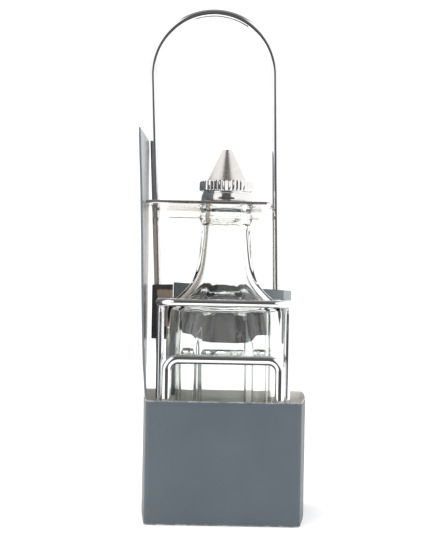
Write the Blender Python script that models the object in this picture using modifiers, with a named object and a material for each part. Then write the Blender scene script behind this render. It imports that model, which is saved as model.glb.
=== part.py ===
"""Glass oil bottle in a chromed wire carrier, standing in a card sleeve.

Metres, +Z up. The object stands on z = 0 and its front faces -Y. Everything is placed
from the bottle's own axis, and the whole is then shifted so that the middle of its
bounding box is at the origin.
"""
from math import asin, cos, pi, radians, sin

import bmesh
import bpy
from mathutils import Matrix, Vector

MM = 0.001
GAP = 0.3 * MM            # clearance between pieces that touch

# Bottle
BODY_HALF = 28.2 * MM     # half the width of the square body
EDGE_RADIUS = 2.5 * MM    # rounding of the eight upright edges
BODY_TOP = 100.5 * MM     # the shoulder starts here
BODY_FACE = 0.515         # share of the half width that each flat face takes
NECK_FACE = 0.415         # the same on the neck, a regular octagon
FACETS_END = 138.0 * MM   # above this the facets fade into a round neck
ROUND_FROM = 143.5 * MM
BASE_Z = 5.7 * MM         # underside of the bottle
MOUTH_Z = 160.6 * MM

# Pouring cap
SKIRT_Z = 153.7 * MM
KNURL_Z = 159.2 * MM
RING_TOP_Z = 164.2 * MM
SKIRT_RADIUS = 12.7 * MM
KNURL_RADIUS = 13.4 * MM
THREAD_BORE = 11.5 * MM
CONE_RADIUS = 9.6 * MM
TIP_Z = 179.9 * MM
TIP_RADIUS = 2.55 * MM
POUR_HOLE = 1.4 * MM
KNURLS = 44

# Wire carrier
HANDLE_WIRE = 2.25 * MM   # radius
FRAME_WIRE = 2.3 * MM     # radius
RING_WIRE = 1.8 * MM      # radius
HANDLE_Y = 37.3 * MM
HANDLE_FOOT_LEFT = -30.0 * MM
HANDLE_FOOT_RIGHT = 29.2 * MM
ARCH_X = -7.6 * MM        # the arch leans to the left of its feet
ARCH_Z = 222.4 * MM
ARCH_RADIUS = 31.8 * MM
WIRE_Z = 3.15 * MM        # centre of the lowest wires
RING_Z = 104.4 * MM
RING_HALF = 31.2 * MM
RING_LEG_X = 30.4 * MM
RING_LEG_Y = -24.0 * MM
GUARD_HALF = 26.85 * MM
GUARD_Y = 31.2 * MM
GUARD_Z = 77.6 * MM
BASE_HALF_X = 24.6 * MM
BASE_HALF_Y = 26.2 * MM
RAIL_X = 11.0 * MM

# Neck plate and its hinge
HINGE_Y = 41.95 * MM
HINGE_Z = 154.2 * MM
CROSSBAR_RADIUS = 1.6 * MM
CROSSBAR_LEFT = -39.7 * MM
CROSSBAR_RIGHT = 24.8 * MM
END_CAP_RADIUS = 2.1 * MM
END_CAP_LENGTH = 3.0 * MM
KNUCKLE_RADIUS = 2.5 * MM
PLATE_LEFT = -34.0 * MM
PLATE_RIGHT = 21.8 * MM
PLATE_FRONT = -20.0 * MM
PLATE_REAR = 37.6 * MM
EAR_LEFT = -38.9 * MM         # a small ear at the front left corner
EAR_REAR = -8.0 * MM
PLATE_THICK = 1.5 * MM
PLATE_FRONT_Z = 152.75 * MM   # mid-thickness at the front edge
PLATE_TILT = radians(1.0)     # the rear edge lies a little lower
PLATE_HOLE = 15.2 * MM
FLANGE_DROP = 3.6 * MM
FLANGE_THICK = 1.0 * MM
FLANGE_LEAN = radians(8.0)    # the flange's lower edge stands back

# Card sleeve, tall side panel and back band
CARD = 0.5 * MM
SLEEVE_FRONT = -38.0 * MM
SLEEVE_BACK = 40.5 * MM
SLEEVE_FRONT_LEFT = -36.2 * MM    # the sleeve is wider at the back
SLEEVE_FRONT_RIGHT = 37.3 * MM
SLEEVE_BACK_LEFT = -41.3 * MM
SLEEVE_BACK_RIGHT = 41.8 * MM
SLEEVE_TOP = 58.2 * MM
SLEEVE_BULGE_LEFT = 0.5 * MM
SLEEVE_BULGE_RIGHT = 1.5 * MM
SLEEVE_CORNER = 2.2 * MM
PANEL_THICK = 1.2 * MM
PANEL_FRONT = -30.0 * MM
PANEL_BACK = 33.4 * MM
PANEL_ROWS = [                    # height, x of the front edge, x of the rear edge, in mm
    (58.5, -36.4, -40.6), (68.0, -37.2, -40.4), (75.0, -37.8, -40.2), (89.0, -38.4, -40.2),
    (111.0, -39.1, -40.3), (132.0, -39.6, -40.4), (160.0, -40.5, -40.8),
    (187.3, -41.8, -41.1)]
BAND_Y = 34.25 * MM
BAND_THICK = 0.5 * MM
BAND_FOLD = -26.5 * MM
BAND_LEFT = -37.6 * MM
BAND_RIGHT = 34.6 * MM



def clear_scene():
    for obj in list(bpy.data.objects):
        bpy.data.objects.remove(obj)


def make_collection(name):
    collection = bpy.data.collections.new(name)
    bpy.context.scene.collection.children.link(collection)
    return collection


def make_material(name, colour, roughness, metallic=0.0, transmission=0.0):
    material = bpy.data.materials.new(name)
    material.use_nodes = True
    shader = material.node_tree.nodes["Principled BSDF"]
    shader.inputs["Base Color"].default_value = (*colour, 1.0)
    shader.inputs["Roughness"].default_value = roughness
    shader.inputs["Metallic"].default_value = metallic
    shader.inputs["Transmission Weight"].default_value = transmission
    return material


def add_object(name, data, material, parent, location=(0, 0, 0)):
    obj = bpy.data.objects.new(name, data)
    PARTS.objects.link(obj)
    data.materials.append(material)
    obj.parent = parent
    obj.location = location
    return obj


def add_empty(name, location, parent=None):
    empty = bpy.data.objects.new(name, None)
    PARTS.objects.link(empty)
    empty.parent = parent
    empty.location = location
    return empty


def mesh_from(bm, name):
    bmesh.ops.recalc_face_normals(bm, faces=bm.faces)
    mesh = bpy.data.meshes.new(name)
    bm.to_mesh(mesh)
    bm.free()
    return mesh


def shade_smooth(mesh, angle=35):
    mesh.shade_smooth()
    mesh.set_sharp_from_angle(angle=radians(angle))


def fillet(corners, radii, steps, closed=False):
    """The path through the corners, each inner one rounded to its own radius."""
    corners = [Vector(c) for c in corners]
    path = []
    count = len(corners)
    if not isinstance(radii, list):
        radii = [radii] * count
    for i, (corner, radius) in enumerate(zip(corners, radii)):
        if not closed and i in (0, count - 1):
            path.append(corner)
            continue
        before = (corners[i - 1] - corner).normalized()
        after = (corners[(i + 1) % count] - corner).normalized()
        half = before.angle(after) / 2
        middle = corner + (before + after).normalized() * radius / sin(half)
        reach = radius / sin(half) * cos(half)
        start = corner + before * reach - middle
        turn = start.rotation_difference(corner + after * reach - middle)
        for k in range(steps + 1):
            step = turn.copy()
            step.angle = turn.angle * k / steps
            path.append(middle + step @ start)
    return path


def wire(name, path, radius, material, parent, closed=False, sides=2):
    """A round wire along a path of straight runs and arcs."""
    curve = bpy.data.curves.new(name, "CURVE")
    curve.dimensions = "3D"
    curve.bevel_depth = radius
    curve.bevel_resolution = sides
    curve.use_fill_caps = not closed
    spline = curve.splines.new("POLY")
    spline.points.add(len(path) - 1)
    for point, place in zip(spline.points, path):
        point.co = (*place, 1.0)
    spline.use_cyclic_u = closed
    spline.use_smooth = True
    return add_object(name, curve, material, parent)


def turned(name, profile, material, parent, location=(0, 0, 0), steps=40):
    """A ring turned about its own Z axis from a closed (radius, height) profile."""
    bm = bmesh.new()
    verts = [bm.verts.new((r, 0.0, z)) for r, z in profile]
    for i, vert in enumerate(verts):
        bm.edges.new((vert, verts[(i + 1) % len(verts)]))
    mesh = bpy.data.meshes.new(name)
    bm.to_mesh(mesh)
    bm.free()
    obj = add_object(name, mesh, material, parent, location)
    screw = obj.modifiers.new("turn", "SCREW")
    screw.steps = steps
    screw.render_steps = steps
    screw.merge_threshold = 0.00001
    screw.use_merge_vertices = True
    return obj


def loft(rings, name):
    """A closed body through rings of points, capped at its first and last ring."""
    bm = bmesh.new()
    layers = [[bm.verts.new(point) for point in ring] for ring in rings]
    count = len(layers[0])
    for low, high in zip(layers, layers[1:]):
        for i in range(count):
            j = (i + 1) % count
            bm.faces.new((low[i], low[j], high[j], high[i]))
    bm.faces.new(layers[0])
    bm.faces.new(layers[-1])
    return mesh_from(bm, name)


def flat_outline(name, outlines, thickness):
    """A sheet with the first outline as its edge and the others as its holes."""
    curve = bpy.data.curves.new(name, "CURVE")
    curve.dimensions = "2D"
    curve.fill_mode = "BOTH"
    curve.extrude = thickness / 2
    for outline in outlines:
        spline = curve.splines.new("POLY")
        spline.points.add(len(outline) - 1)
        for point, (u, v) in zip(spline.points, outline):
            point.co = (u, v, 0.0, 1.0)
        spline.use_cyclic_u = True
    return curve


def circle(radius, count, centre=(0.0, 0.0)):
    return [(centre[0] + radius * cos(2 * pi * k / count),
             centre[1] + radius * sin(2 * pi * k / count)) for k in range(count)]


def as_mesh_object(obj):
    """The curve object's evaluated shape as a mesh object with welded caps."""
    bpy.context.view_layer.update()
    evaluated = obj.evaluated_get(bpy.context.evaluated_depsgraph_get())
    mesh = bpy.data.meshes.new_from_object(evaluated)
    bm = bmesh.new()
    bm.from_mesh(mesh)
    bmesh.ops.remove_doubles(bm, verts=bm.verts, dist=0.00001)
    bm.to_mesh(mesh)
    bm.free()
    name, parent, place = obj.name, obj.parent, obj.matrix_world.copy()
    bpy.data.objects.remove(obj)
    solid = bpy.data.objects.new(name, mesh)
    PARTS.objects.link(solid)
    solid.parent = parent
    solid.matrix_world = place
    return solid


# ---------------------------------------------------------------- bottle

def octagon(half, face):
    """Points round a square whose corners are cut, with each of its edges rounded."""
    corners = [(half, -face), (half, face), (face, half), (-face, half),
               (-half, face), (-half, -face), (-face, -half), (face, -half)]
    rounded = fillet([(x, y, 0) for x, y in corners], EDGE_RADIUS, 2, closed=True)
    points = []
    for i, here in enumerate(rounded):
        points.append(here)
        if i % 3 == 2:
            ahead = rounded[(i + 1) % len(rounded)]
            points += [here.lerp(ahead, k / 3) for k in (1, 2)]
    return points


def section(half, z, roundness):
    """A ring of points between the faceted section and a circle of the same width."""
    share = min(1.0, max(0.0, (z - BODY_TOP + 18 * MM) / (20 * MM)))
    face = half * (BODY_FACE + (NECK_FACE - BODY_FACE) * share)
    points = []
    for flat in octagon(half, face):
        point = flat.lerp(flat.normalized() * half, roundness)
        points.append(Vector((point.x, point.y, z)))
    return points


def bottle_rings():
    mouth, base = MOUTH_Z / MM, BASE_Z / MM
    outer = [(24.5, base), (26.6, 6.5), (27.8, 8.4), (28.2, 11.5), (28.2, 82.0),
             (28.2, 97.0),
             (28.0, 100.5), (26.9, 103.4), (24.5, 105.7), (21.8, 108.0), (19.2, 110.6),
             (16.8, 113.6), (15.0, 117.6), (14.0, 121.4), (13.45, 125.2), (12.7, 133.0),
             (12.3, 138.0), (12.1, 142.6), (12.8, 144.4), (13.3, 146.0), (12.8, 147.5),
             (12.2, 148.4), (12.8, 149.3), (13.3, 150.6), (12.8, 151.8), (11.8, 152.8),
             (10.6, 153.3), (10.6, 155.2), (11.1, 155.8), (10.6, 156.4), (10.6, 157.8),
             (11.1, 158.4), (10.6, 159.0), (10.6, mouth - 0.5), (10.1, mouth)]
    inner = [(9.2, mouth), (8.6, mouth - 0.6), (8.6, 144.0), (9.6, 130.0), (11.2, 120.0),
             (14.4, 113.0), (19.4, 106.6), (23.4, 101.6), (25.2, 96.0), (25.2, 16.0),
             (24.0, 12.9), (21.5, 11.7)]
    rings = []
    for half, z in outer:
        half = min(half, BODY_HALF / MM)
        fade = (z * MM - FACETS_END) / (ROUND_FROM - FACETS_END)
        rings.append(section(half * MM, z * MM, min(1.0, max(0.0, fade))))
    for half, z in inner:
        rings.append(section(half * MM, z * MM, 1.0))
    return rings


def make_bottle(parent):
    mesh = loft(bottle_rings(), "bottle_glass")
    shade_smooth(mesh, 50)
    add_object("bottle_glass", mesh, GLASS, parent)


def knurled_section(radius, z, depth):
    """A ring of points whose radius steps in and out once for each knurl."""
    points = []
    for k in range(2 * KNURLS):
        r = radius - depth * (k % 2)
        angle = pi * k / KNURLS
        points.append(Vector((r * cos(angle), r * sin(angle), z)))
    return points


def make_cap_ring(parent, base):
    """The knurled ring and its skirt, open below, with a lip over the cone's flange."""
    mid = (SKIRT_Z + KNURL_Z) / 2 + 1.6 * MM
    lip = RING_TOP_Z - 1.0 * MM
    deep = 0.45 * MM
    profile = [
        (THREAD_BORE, SKIRT_Z, 0), (SKIRT_RADIUS, SKIRT_Z, 0), (SKIRT_RADIUS, mid, 0),
        (SKIRT_RADIUS - 0.6 * MM, mid + 0.4 * MM, 0),
        (SKIRT_RADIUS - 0.6 * MM, KNURL_Z - 0.3 * MM, 0),
        (KNURL_RADIUS, KNURL_Z, deep), (KNURL_RADIUS, RING_TOP_Z - 0.5 * MM, deep),
        (KNURL_RADIUS - 0.7 * MM, RING_TOP_Z, 0), (CONE_RADIUS + 0.4 * MM, RING_TOP_Z, 0),
        (CONE_RADIUS + 0.4 * MM, lip, 0), (THREAD_BORE, lip, 0)]
    bm = bmesh.new()
    layers = []
    for radius, z, depth in profile:
        ring = knurled_section(radius, z - base, depth)
        layers.append([bm.verts.new(point) for point in ring])
    count = len(layers[0])
    for i, layer in enumerate(layers):
        above = layers[(i + 1) % len(layers)]
        for k in range(count):
            j = (k + 1) % count
            bm.faces.new((layer[k], layer[j], above[j], above[k]))
    mesh = mesh_from(bm, "cap_ring")
    shade_smooth(mesh)
    add_object("cap_ring", mesh, CAP_CHROME, parent)


def make_cone(parent, base):
    """The hollow pouring cone: a flat tip with a hole, and a flange under the ring."""
    wall = 0.9 * MM
    flange = 11.1 * MM
    under = RING_TOP_Z - 2.0 * MM
    seat = RING_TOP_Z - 1.0 * MM - GAP
    outer = [(POUR_HOLE, TIP_Z), (TIP_RADIUS - 0.4 * MM, TIP_Z),
             (TIP_RADIUS, TIP_Z - 0.4 * MM), (CONE_RADIUS, RING_TOP_Z + 0.6 * MM),
             (CONE_RADIUS, seat), (flange, seat), (flange, under)]
    inner = [(CONE_RADIUS - wall, under), (CONE_RADIUS - wall, RING_TOP_Z),
             (POUR_HOLE, TIP_Z - 1.5 * MM)]
    profile = [(r, z - base) for r, z in outer + inner]
    turned("pour_cone", profile, CONE_STEEL, parent)


def make_gasket(parent, base):
    top = RING_TOP_Z - 2.0 * MM - GAP
    low = MOUTH_Z + GAP
    profile = [(8.9 * MM, top), (11.0 * MM, top), (11.0 * MM, low), (8.9 * MM, low)]
    turned("cap_gasket", [(r, z - base) for r, z in profile], GASKET, parent)


# ---------------------------------------------------------------- wire carrier

def make_handle(parent):
    """One wire: up the left leg, over the arch, down the right leg, feet forward."""
    foot_front = RING_LEG_Y
    left, right = HANDLE_FOOT_LEFT, HANDLE_FOOT_RIGHT
    bend = 8.0 * MM
    start = fillet([(left, foot_front, WIRE_Z), (left, HANDLE_Y, WIRE_Z),
                    (ARCH_X - ARCH_RADIUS, HANDLE_Y, ARCH_Z)], bend, 5)[:-1]
    arch = []
    for k in range(21):
        angle = pi - pi * k / 20
        arch.append(Vector((ARCH_X + ARCH_RADIUS * cos(angle), HANDLE_Y,
                            ARCH_Z + ARCH_RADIUS * sin(angle))))
    end = fillet([(ARCH_X + ARCH_RADIUS, HANDLE_Y, ARCH_Z), (right, HANDLE_Y, WIRE_Z),
                  (right, foot_front, WIRE_Z)], bend, 5)[1:]
    wire("handle_hoop", start + arch + end, HANDLE_WIRE, CHROME, parent)


def make_upper_ring(parent):
    half = RING_HALF
    corners = [(-half, -half, RING_Z), (half, -half, RING_Z),
               (half, half, RING_Z), (-half, half, RING_Z)]
    path = fillet(corners, 9.0 * MM, 5, closed=True)
    wire("upper_ring", path, RING_WIRE, CHROME, parent, closed=True)
    foot = WIRE_Z + HANDLE_WIRE + GAP
    top = RING_Z - RING_WIRE - GAP
    for side, name in ((-1, "ring_leg_left"), (1, "ring_leg_right")):
        x = side * RING_LEG_X
        path = [Vector((x, RING_LEG_Y, foot)), Vector((x, RING_LEG_Y, top))]
        wire(name, path, RING_WIRE, CHROME, parent, sides=3)


def make_guard(name, y, parent):
    """A closed upright loop whose lower run lies beside the base frame."""
    corners = [(-GUARD_HALF, y, WIRE_Z), (GUARD_HALF, y, WIRE_Z),
               (GUARD_HALF, y, GUARD_Z), (-GUARD_HALF, y, GUARD_Z)]
    foot, top = 9.0 * MM, 5.6 * MM
    path = fillet(corners, [foot, foot, top, top], 5, closed=True)
    wire(name, path, FRAME_WIRE, CHROME, parent, closed=True)


def make_base(parent):
    corners = [(-BASE_HALF_X, -BASE_HALF_Y, WIRE_Z), (BASE_HALF_X, -BASE_HALF_Y, WIRE_Z),
               (BASE_HALF_X, BASE_HALF_Y, WIRE_Z), (-BASE_HALF_X, BASE_HALF_Y, WIRE_Z)]
    path = fillet(corners, 7.0 * MM, 4, closed=True)
    wire("base_frame", path, FRAME_WIRE, CHROME, parent, closed=True)
    reach = BASE_HALF_Y - FRAME_WIRE - GAP
    for side, name in ((-1, "base_rail_left"), (1, "base_rail_right")):
        path = [Vector((side * RAIL_X, -reach, WIRE_Z)), Vector((side * RAIL_X, reach, WIRE_Z))]
        wire(name, path, FRAME_WIRE, CHROME, parent)


def make_crossbar(parent):
    """The hinge rod welded behind both handle legs, with a domed cap on each end."""
    path = [Vector((CROSSBAR_LEFT, HINGE_Y, HINGE_Z)), Vector((CROSSBAR_RIGHT, HINGE_Y, HINGE_Z))]
    wire("hinge_crossbar", path, CROSSBAR_RADIUS, CHROME, parent, sides=3)
    dome = []
    for k in range(5):
        angle = pi / 2 * k / 5
        dome.append((END_CAP_RADIUS * cos(angle),
                     END_CAP_LENGTH - END_CAP_RADIUS + END_CAP_RADIUS * sin(angle)))
    for side, name, x in ((-1, "crossbar_cap_left", CROSSBAR_LEFT),
                          (1, "crossbar_cap_right", CROSSBAR_RIGHT)):
        rings = []
        for radius, height in [(END_CAP_RADIUS, GAP)] + dome:
            rings.append([Vector((u, v, height)) for u, v in circle(radius, 20)])
        mesh = loft(rings, name)
        shade_smooth(mesh)
        cap = add_object(name, mesh, CHROME, parent, (x, HINGE_Y, HINGE_Z))
        cap.rotation_euler = (0, side * pi / 2, 0)


# ---------------------------------------------------------------- neck plate

def make_neck_plate(parent):
    """A sheet with a hole for the neck and a flange turned down along its rear edge."""
    corner = 3.0 * MM
    outline = fillet([(EAR_LEFT, PLATE_FRONT, 0), (PLATE_RIGHT, PLATE_FRONT, 0),
                      (PLATE_RIGHT, PLATE_REAR, 0), (PLATE_LEFT, PLATE_REAR, 0),
                      (PLATE_LEFT, EAR_REAR, 0), (EAR_LEFT, EAR_REAR, 0)],
                     [2.6 * MM, corner, corner, corner, 2.0 * MM, 2.6 * MM], 4, closed=True)
    sheet = flat_outline("neck_plate", [[p.xy for p in outline], circle(PLATE_HOLE, 40)],
                         PLATE_THICK)
    mid_rear_z = plate_mid_z(PLATE_REAR)
    obj = add_object("neck_plate", sheet, PLATE_CHROME, parent,
                     (0, -HINGE_Y, plate_mid_z(0) - HINGE_Z))
    obj.rotation_euler = (-PLATE_TILT, 0, 0)
    plate = as_mesh_object(obj)
    bpy.ops.mesh.primitive_cube_add(size=1)
    flange = bpy.context.object
    flange.name = "plate_flange_shape"
    flange.parent = parent
    low = mid_rear_z - PLATE_THICK / 2 - FLANGE_DROP
    high = mid_rear_z
    flange.scale = (PLATE_RIGHT - PLATE_LEFT - 2 * corner, FLANGE_THICK, high - low)
    flange.location = ((PLATE_LEFT + PLATE_RIGHT) / 2,
                       PLATE_REAR - FLANGE_THICK * 0.6 - HINGE_Y, (low + high) / 2 - HINGE_Z)
    flange.rotation_euler = (FLANGE_LEAN, 0, 0)
    move_to_cutters(flange)
    union = plate.modifiers.new("flange", "BOOLEAN")
    union.operation = "UNION"
    union.solver = "EXACT"
    union.object = flange


def move_to_cutters(obj):
    for collection in list(obj.users_collection):
        collection.objects.unlink(obj)
    CUTTERS.objects.link(obj)
    obj.hide_render = True
    obj.display_type = "WIRE"


def plate_mid_z(y):
    """Height of the plate's mid-thickness, which falls slightly towards the rear."""
    return PLATE_FRONT_Z - (y - PLATE_FRONT) * sin(PLATE_TILT)


def make_knuckle(name, middle_x, parent):
    """A strap rolled round the crossbar, with its leaf lying on the plate."""
    outer = KNUCKLE_RADIUS
    bore = CROSSBAR_RADIUS + 0.25 * MM
    leaf_end = -11.0 * MM
    leaf_low = plate_mid_z(HINGE_Y + leaf_end) + PLATE_THICK / 2 + GAP - HINGE_Z
    leaf_top = leaf_low + 0.8 * MM
    first = pi - asin(leaf_top / outer)
    last = -pi - asin(leaf_low / outer)
    rolled = []
    for k in range(21):
        angle = first + (last - first) * k / 20
        rolled.append((outer * cos(angle), outer * sin(angle)))
    outline = [(leaf_end, leaf_top)] + rolled + [(leaf_end, leaf_low)]
    shape = flat_outline(name, [outline, circle(bore, 20)], 8.0 * MM)
    knuckle = add_object(name, shape, PLATE_CHROME, parent, (middle_x, 0, 0))
    upright = Matrix(((0, 0, 1), (1, 0, 0), (0, 1, 0)))
    knuckle.rotation_euler = upright.to_euler()


# ---------------------------------------------------------------- card sleeve

def sleeve_outline(inset=0.0):
    """The sleeve seen from above: flat front and back, bulging sides, round corners."""
    front, back = SLEEVE_FRONT + inset, SLEEVE_BACK - inset
    corners = [(SLEEVE_FRONT_LEFT + inset, front, 0), (SLEEVE_FRONT_RIGHT - inset, front, 0),
               (SLEEVE_BACK_RIGHT - inset, back, 0), (SLEEVE_BACK_LEFT + inset, back, 0)]
    rounded = fillet(corners, SLEEVE_CORNER, 4, closed=True)
    path = []
    for i, here in enumerate(rounded):
        path.append(here)
        ahead = rounded[(i + 1) % len(rounded)]
        if abs(ahead.y - here.y) < 20 * MM:
            continue
        bulge = SLEEVE_BULGE_RIGHT if here.x > 0 else -SLEEVE_BULGE_LEFT
        for k in range(1, 10):
            point = here.lerp(ahead, k / 10)
            point.x += bulge * sin(pi * k / 10)
            path.append(point)
    return path


def make_sleeve(parent):
    bm = bmesh.new()
    low, high = [], []
    for point in sleeve_outline():
        low.append(bm.verts.new((point.x, point.y, 0)))
        high.append(bm.verts.new((point.x, point.y, SLEEVE_TOP)))
    for i in range(len(low)):
        j = (i + 1) % len(low)
        bm.faces.new((low[i], low[j], high[j], high[i]))
    mesh = mesh_from(bm, "sleeve_wrap")
    wrap = add_object("sleeve_wrap", mesh, CARD_GREY, parent)
    shell = wrap.modifiers.new("card", "SOLIDIFY")
    shell.thickness = CARD
    shell.offset = -1
    shade_smooth(mesh)
    floor = sleeve_outline(CARD + GAP)
    sheet = flat_outline("sleeve_floor", [[p.xy for p in floor]], CARD)
    add_object("sleeve_floor", sheet, CARD_GREY, parent, (0, 0, CARD / 2))


def make_side_panel(parent):
    """The tall panel stands on the sleeve's left wall and twists outwards as it rises."""
    bm = bmesh.new()
    rows = []
    for z, front_x, rear_x in PANEL_ROWS:
        ends = (Vector((front_x * MM, PANEL_FRONT, z * MM)),
                Vector((rear_x * MM, PANEL_BACK, z * MM)))
        rows.append([bm.verts.new(ends[0].lerp(ends[1], k / 4)) for k in range(5)])
    for low, high in zip(rows, rows[1:]):
        for k in range(4):
            bm.faces.new((low[k], high[k], high[k + 1], low[k + 1]))
    mesh = bpy.data.meshes.new("side_panel")
    bm.to_mesh(mesh)
    bm.free()
    panel = add_object("side_panel", mesh, CARD_GREY, parent)
    shell = panel.modifiers.new("card", "SOLIDIFY")
    shell.thickness = PANEL_THICK
    shell.offset = 0


def make_band(parent):
    """The band behind the bottle: a short folded flap at the left, then the long run."""
    flap = [(BAND_LEFT, 84.6 * MM), (BAND_FOLD - GAP, 84.2 * MM),
            (BAND_FOLD - GAP, 112.9 * MM), (BAND_LEFT, 112.5 * MM)]
    run = [(BAND_FOLD, 83.4 * MM), (BAND_RIGHT, 83.0 * MM),
           (BAND_RIGHT, 110.6 * MM), (BAND_FOLD, 114.0 * MM)]
    for name, outline, material in (("band_flap", flap, CARD_DARK),
                                    ("back_band", run, CARD_GREY)):
        sheet = flat_outline(name, [outline], BAND_THICK)
        band = add_object(name, sheet, material, parent, (0, BAND_Y, 0))
        band.rotation_euler = (pi / 2, 0, 0)


clear_scene()
PARTS = make_collection("glass_oil_bottle")
CUTTERS = make_collection("cutters")
GLASS = make_material("clear_glass", (0.93, 0.96, 0.94), 0.02, transmission=1.0)
CHROME = make_material("chrome_wire", (0.80, 0.80, 0.81), 0.06, metallic=1.0)
PLATE_CHROME = make_material("plate_chrome", (0.82, 0.80, 0.78), 0.12, metallic=1.0)
CAP_CHROME = make_material("cap_chrome", (0.78, 0.77, 0.76), 0.10, metallic=1.0)
CONE_STEEL = make_material("cone_steel", (0.72, 0.69, 0.66), 0.28, metallic=1.0)
GASKET = make_material("gasket_rubber", (0.85, 0.84, 0.80), 0.6)
CARD_GREY = make_material("card_grey", (0.15, 0.17, 0.185), 0.7)
CARD_DARK = make_material("card_dark", (0.06, 0.06, 0.065), 0.7)

# The middle of the whole object's bounding box goes to the origin
RIGHT_END = max(point.x for point in sleeve_outline())
CENTRE_X = (CROSSBAR_LEFT - END_CAP_LENGTH + RIGHT_END) / 2
CENTRE_Y = (SLEEVE_FRONT + HINGE_Y + KNUCKLE_RADIUS) / 2
ROOT = add_empty("object_centre", (-CENTRE_X, -CENTRE_Y, 0))
SLEEVE = add_empty("sleeve_body", (0, 0, 0), ROOT)
CARRIER = add_empty("carrier_body", (0, 0, 0), ROOT)
HINGE = add_empty("plate_hinge_axis", (0, HINGE_Y, HINGE_Z), CARRIER)
BOTTLE = add_empty("bottle_body", (0, 0, 0), CARRIER)
CAP = add_empty("cap_axis", (0, 0, SKIRT_Z), BOTTLE)

make_sleeve(SLEEVE)
make_side_panel(SLEEVE)
make_band(SLEEVE)
make_handle(CARRIER)
make_upper_ring(CARRIER)
make_guard("front_guard", -GUARD_Y, CARRIER)
make_guard("rear_guard", GUARD_Y, CARRIER)
make_base(CARRIER)
make_crossbar(CARRIER)
make_neck_plate(HINGE)
make_knuckle("hinge_knuckle_left", -22.0 * MM, HINGE)
make_knuckle("hinge_knuckle_right", 10.0 * MM, HINGE)
make_bottle(BOTTLE)
make_cap_ring(CAP, SKIRT_Z)
make_cone(CAP, SKIRT_Z)
make_gasket(CAP, SKIRT_Z)
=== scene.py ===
"""Glass oil bottle in a chromed wire carrier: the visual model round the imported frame."""
from math import asin, atan2, cos, pi, radians, sin, tan

import bmesh
import bpy
from mathutils import Matrix, Vector, noise


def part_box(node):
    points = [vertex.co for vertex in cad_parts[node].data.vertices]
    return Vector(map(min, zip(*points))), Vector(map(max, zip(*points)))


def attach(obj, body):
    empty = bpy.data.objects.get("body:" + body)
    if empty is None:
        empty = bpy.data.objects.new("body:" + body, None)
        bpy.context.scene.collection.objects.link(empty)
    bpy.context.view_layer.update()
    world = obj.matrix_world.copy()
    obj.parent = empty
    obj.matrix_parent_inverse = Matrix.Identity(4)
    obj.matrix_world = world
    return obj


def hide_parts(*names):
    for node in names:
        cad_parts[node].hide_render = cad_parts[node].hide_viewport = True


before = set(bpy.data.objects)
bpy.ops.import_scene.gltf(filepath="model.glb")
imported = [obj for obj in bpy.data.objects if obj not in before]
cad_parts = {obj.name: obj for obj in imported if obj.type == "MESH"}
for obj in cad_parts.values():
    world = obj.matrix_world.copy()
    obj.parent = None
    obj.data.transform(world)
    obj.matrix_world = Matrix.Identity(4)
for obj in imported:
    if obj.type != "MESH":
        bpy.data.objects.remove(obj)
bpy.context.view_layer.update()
MM = 0.001

# The bottle's axis, from the CAD bottle's own box
LOW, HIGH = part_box("bottle_glass")
AXIS = Vector(((LOW[0] + HIGH[0]) / 2, (LOW[1] + HIGH[1]) / 2, 0))


def place(x, y, z):
    """Millimetres from the bottle's axis, as a point in the frame."""
    return AXIS + Vector((x, y, z)) * MM


# ---------------------------------------------------------------- meshes

def finish_mesh(bm, name, materials, angle=40):
    """Makes an object of the mesh: smooth, with edges over the angle kept sharp."""
    bmesh.ops.recalc_face_normals(bm, faces=bm.faces)
    mesh = bpy.data.meshes.new(name)
    bm.to_mesh(mesh)
    bm.free()
    mesh.shade_smooth()
    mesh.set_sharp_from_angle(angle=radians(angle))
    for material in materials:
        mesh.materials.append(material)
    obj = bpy.data.objects.new(name, mesh)
    bpy.context.scene.collection.objects.link(obj)
    return obj


def settle(obj, body, slot, *nodes):
    """Rides the piece on its body and hides the CAD nodes it stands for."""
    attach(obj, body)
    if nodes:
        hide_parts(*nodes)


def skin(bm, layers, closed=False):
    """Quads between neighbouring rings of vertices."""
    pairs = list(zip(layers, layers[1:]))
    if closed:
        pairs.append((layers[-1], layers[0]))
    faces = []
    for low, high in pairs:
        for i in range(len(low)):
            j = (i + 1) % len(low)
            faces.append(bm.faces.new((low[i], low[j], high[j], high[i])))
    return faces


def fan(bm, ring):
    """Closes a ring with triangles round its middle."""
    tip = bm.verts.new(sum((v.co for v in ring), Vector()) / len(ring))
    for i in range(len(ring)):
        bm.faces.new((ring[i], ring[(i + 1) % len(ring)], tip))


def fillet(corners, radii, steps, closed=False):
    """The path through the corners, each inner one rounded to its own radius."""
    corners = [Vector(c) for c in corners]
    path = []
    count = len(corners)
    if not isinstance(radii, list):
        radii = [radii] * count
    for i, (corner, radius) in enumerate(zip(corners, radii)):
        if not closed and i in (0, count - 1):
            path.append(corner)
            continue
        before = (corners[i - 1] - corner).normalized()
        after = (corners[(i + 1) % count] - corner).normalized()
        half = before.angle(after) / 2
        middle = corner + (before + after).normalized() * radius / sin(half)
        reach = radius / sin(half) * cos(half)
        start = corner + before * reach - middle
        turn = start.rotation_difference(corner + after * reach - middle)
        for k in range(steps + 1):
            step = turn.copy()
            step.angle = turn.angle * k / steps
            path.append(middle + step @ start)
    return path


def spaced(path, gap, closed=False):
    """The same path with extra points, so that no run is longer than the gap."""
    out = []
    pairs = list(zip(path, path[1:])) + ([(path[-1], path[0])] if closed else [])
    for a, b in pairs:
        count = max(1, int((b - a).length / gap))
        out += [a.lerp(b, k / count) for k in range(count)]
    if not closed:
        out.append(path[-1])
    return out


DOME_ANGLES = (0.5, 1.0, 1.35)    # radians, where a wire's domed end has its rings
STEEP = 0.9                       # a path that starts nearer the vertical than this


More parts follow.
